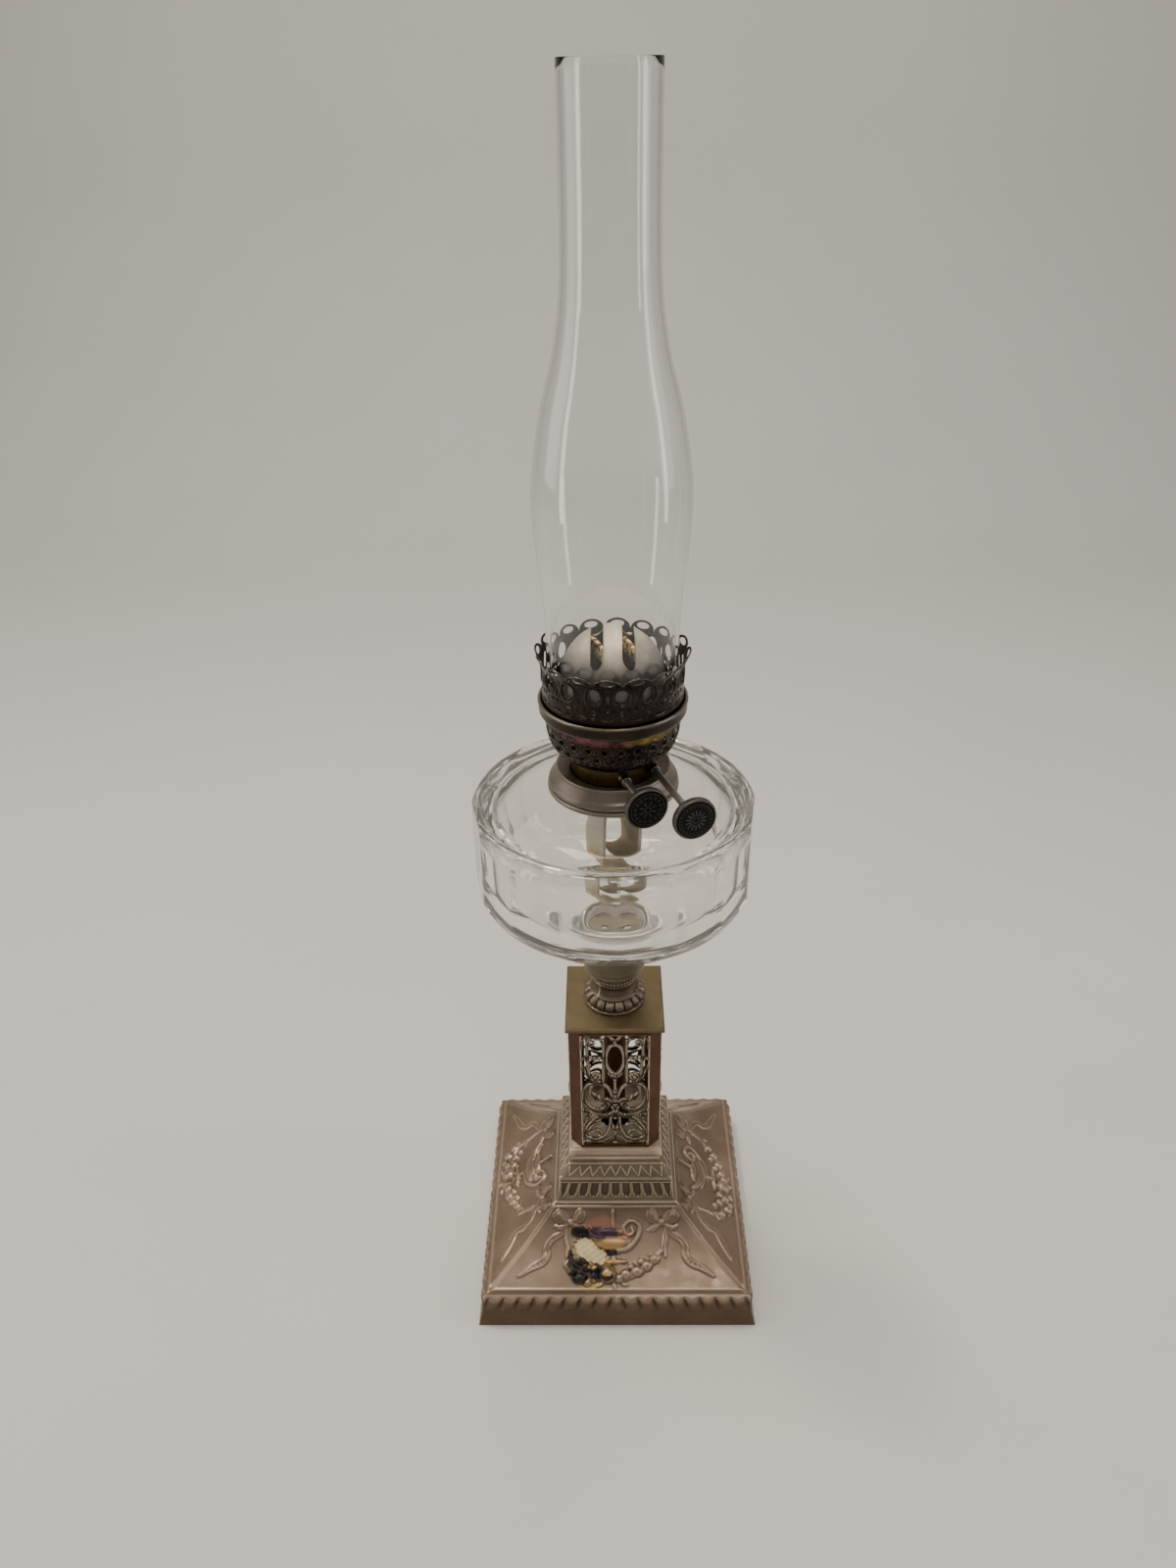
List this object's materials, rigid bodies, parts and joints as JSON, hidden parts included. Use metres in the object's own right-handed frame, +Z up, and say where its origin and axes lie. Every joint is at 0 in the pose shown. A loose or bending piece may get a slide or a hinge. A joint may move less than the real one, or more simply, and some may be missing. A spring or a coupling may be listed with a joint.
{
  "type": "duplex oil lamp",
  "caption": "Table oil lamp: square stepped metal stand, pierced square column, faceted glass oil font, duplex burner with side winders, pierced gallery and tall glass chimney.",
  "frame": {"origin": "centre of the square foot, on the surface that the lamp stands on", "axes": "+Z up along the lamp's axis; -Y is the front, the side that the winder knobs point to, 20 degrees towards +X"},
  "size_m": [0.155, 0.155, 0.61],
  "materials": {
    "bronze": "satin",
    "olive": "satin",
    "brown": "satin",
    "burner_brass": "satin",
    "dome_brass": "matte",
    "collar_brass": "satin",
    "steel": "satin",
    "black_disc": "satin",
    "plaster": "matte",
    "felt": "matte",
    "cotton": "matte",
    "clear_glass": "polished"
  },
  "bodies": {
    "stand": {"felt_pad": "felt", "base_shell": "bronze", "base_filling": "plaster", "tie_rod": "steel", "tie_rod_nut": "steel", "tie_rod_washer": "steel", "rod_sleeve": "bronze", "plinth_block": "bronze", "column_foot": "bronze", "column_casing": "brown", "fret_panel_front": "bronze", "fret_panel_right": "bronze", "fret_panel_back": "bronze", "fret_panel_left": "bronze", "column_cap": "olive", "gadroon_collar": "bronze", "beaded_neck": "bronze", "font_cup": "olive", "glass_font": "clear_glass", "font_collar": "collar_brass", "undermount": "collar_brass"},
    "burner": {"burner_foot": "burner_brass", "tube_plate": "burner_brass", "burner_bowl": "burner_brass", "wick_tube_left": "burner_brass", "wick_tube_right": "burner_brass", "shaft_gland_left": "burner_brass", "shaft_gland_right": "burner_brass"},
    "winder_left": {"winder_shaft_left": "collar_brass", "winder_wheel_left_outer": "steel", "winder_wheel_left_inner": "steel", "knob_left": "collar_brass", "knob_disc_left": "black_disc"},
    "winder_right": {"winder_shaft_right": "collar_brass", "winder_wheel_right_outer": "steel", "winder_wheel_right_inner": "steel", "knob_right": "collar_brass", "knob_disc_right": "black_disc"},
    "wick_strip_left": {"wick_left": "cotton"},
    "wick_strip_right": {"wick_right": "cotton"},
    "gallery": {"gallery_band": "burner_brass", "gallery_crown": "burner_brass", "chimney_seat": "burner_brass", "flame_dome": "dome_brass"},
    "glass_chimney": {"chimney": "clear_glass"}
  },
  "joints": [
    {"name": "burner_lift", "type": "slide", "parent": "stand", "child": "burner", "axis": [0, 0, 1], "range_m": [0, 0.09]},
    {"name": "left_winder_turn", "type": "hinge", "parent": "burner", "child": "winder_left", "pos_m": [-0.00253, -0.00093, 0.324], "axis": [0.3453, -0.9385, 0], "range_deg": [-10, 108]},
    {"name": "right_winder_turn", "type": "hinge", "parent": "burner", "child": "winder_right", "pos_m": [0.01286, 0.00473, 0.324], "axis": [0.3453, -0.9385, 0], "range_deg": [-10, 108]},
    {"name": "left_wick_raise", "type": "slide", "parent": "burner", "child": "wick_strip_left", "axis": [0.0242, 0.0089, 0.9997], "range_m": [-0.008, 0.0008]},
    {"name": "right_wick_raise", "type": "slide", "parent": "burner", "child": "wick_strip_right", "axis": [-0.0242, -0.0089, 0.9997], "range_m": [-0.008, 0.0008]},
    {"name": "gallery_turn", "type": "hinge", "parent": "burner", "child": "gallery", "pos_m": [0, 0, 0.351], "axis": [0, 0, 1], "range_deg": [0, 20.2]},
    {"name": "chimney_lift", "type": "slide", "parent": "gallery", "child": "glass_chimney", "axis": [0, 0, 1], "range_m": [0, 0.06]}
  ],
  "couplings": [
    {"joint": "left_wick_raise", "follows": "left_winder_turn", "m_per_rad": -0.0042},
    {"joint": "right_wick_raise", "follows": "right_winder_turn", "m_per_rad": -0.0042}
  ]
}
